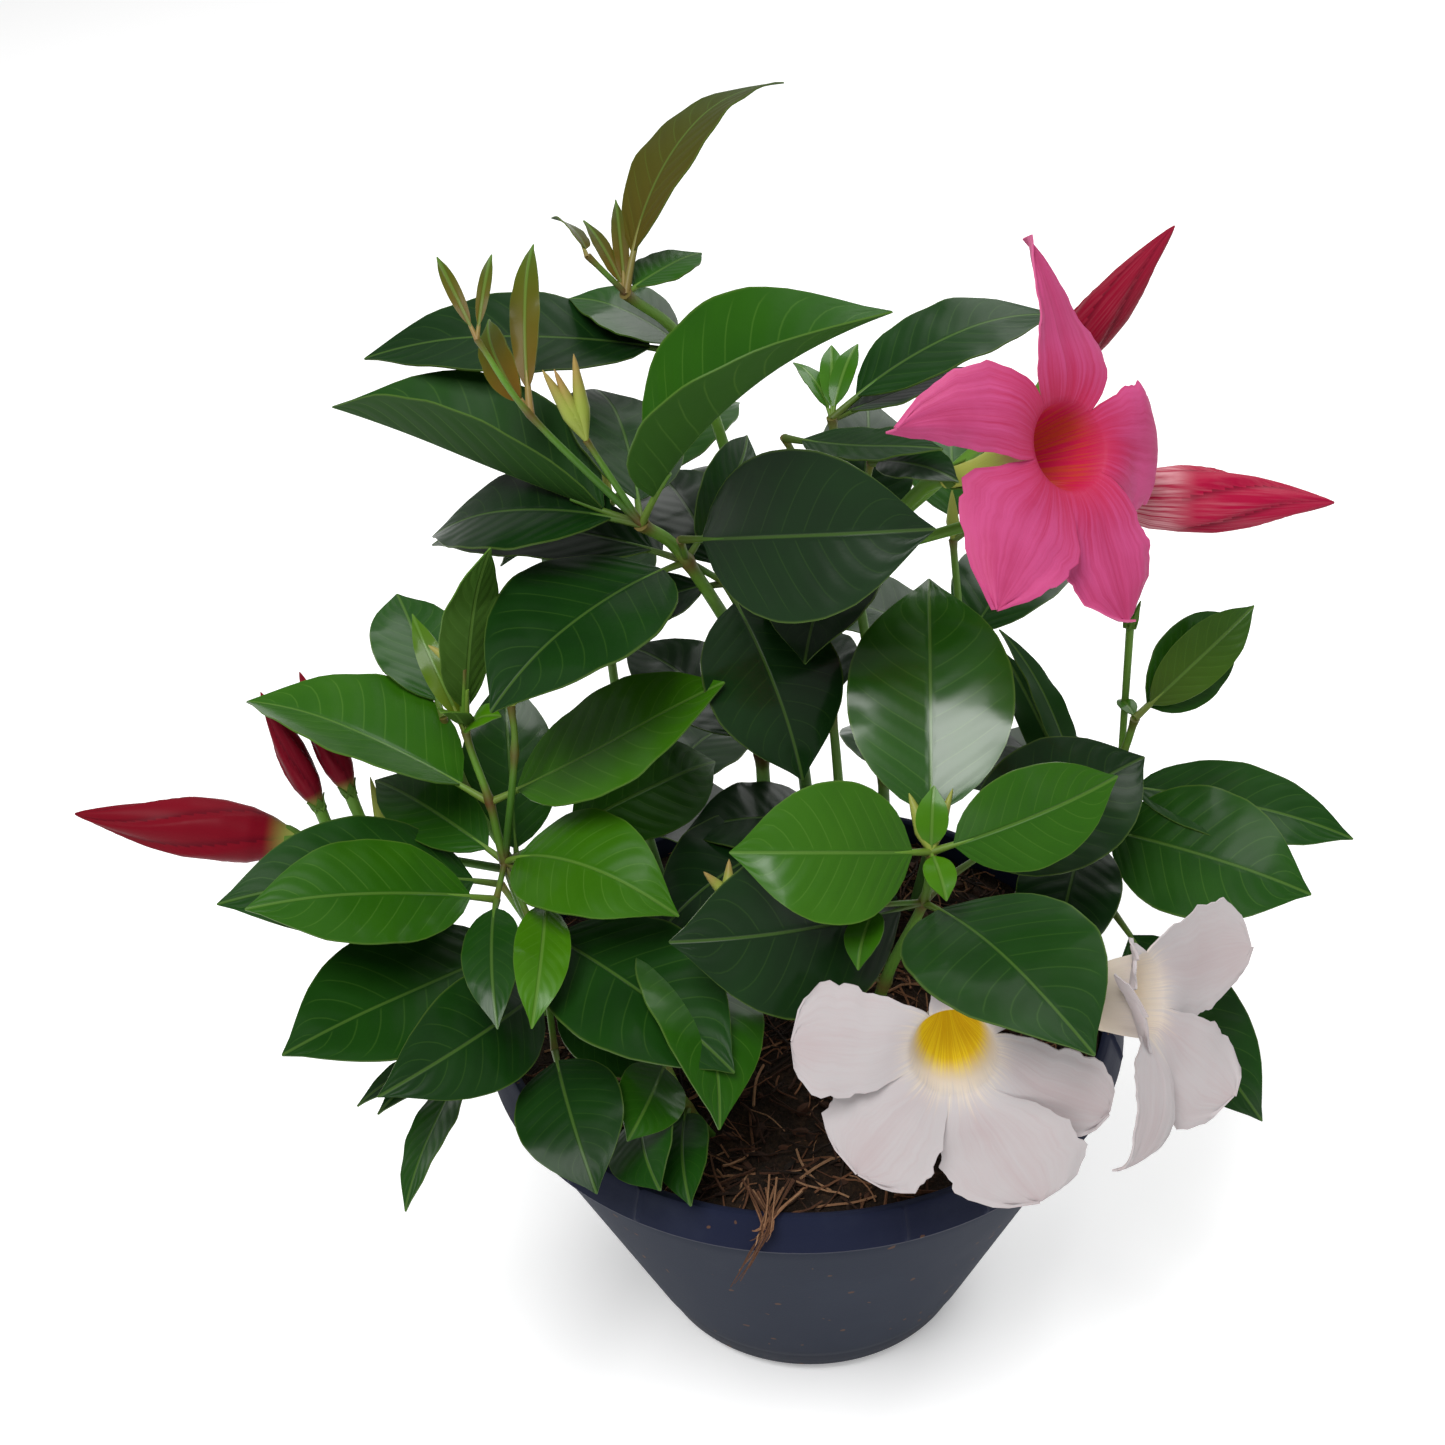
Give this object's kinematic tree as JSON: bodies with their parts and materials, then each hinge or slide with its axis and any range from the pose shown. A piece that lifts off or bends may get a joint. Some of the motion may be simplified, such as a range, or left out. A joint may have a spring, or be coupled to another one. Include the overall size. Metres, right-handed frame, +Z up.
{
  "type": "potted mandevilla",
  "caption": "Bushy flowering plant with glossy oval leaves, trumpet blooms and furled buds, growing in a round tapered nursery pot filled with soil.",
  "frame": {"origin": "middle of the pot's flat underside, on the pot's axis", "axes": "+Z up along the pot's axis, +X to the right as seen in the picture and +Y to the back, away from the viewer"},
  "size_m": [0.3334, 0.236, 0.3523],
  "materials": {
    "pot": "satin moulded plastic, slate navy",
    "soil": "loose dark brown peat and coir",
    "leaf": "glossy leaf, with green stems",
    "petal_pink": "soft petal, pink",
    "petal_white": "soft petal, white with a blush",
    "bud": "furled petals, deep red"
  },
  "bodies": {
    "root": {"pot": "pot", "soil": "soil", "shoot_left": "leaf", "shoot_low": "leaf", "shoot_upper": "leaf", "shoot_top": "leaf", "shoot_middle": "leaf", "shoot_front": "leaf", "shoot_right": "leaf", "shoot_core": "leaf", "shoot_white": "leaf", "shoot_back_left": "leaf", "shoot_back_right": "leaf", "bloom_pink": "petal_pink", "bloom_white_front": "petal_white", "bloom_white_side": "petal_white", "bud_red_long": "bud", "bud_red_back": "bud", "bud_red_small": "bud", "bud_pink_up": "bud", "bud_pink_right": "bud"}
  },
  "joints": []
}
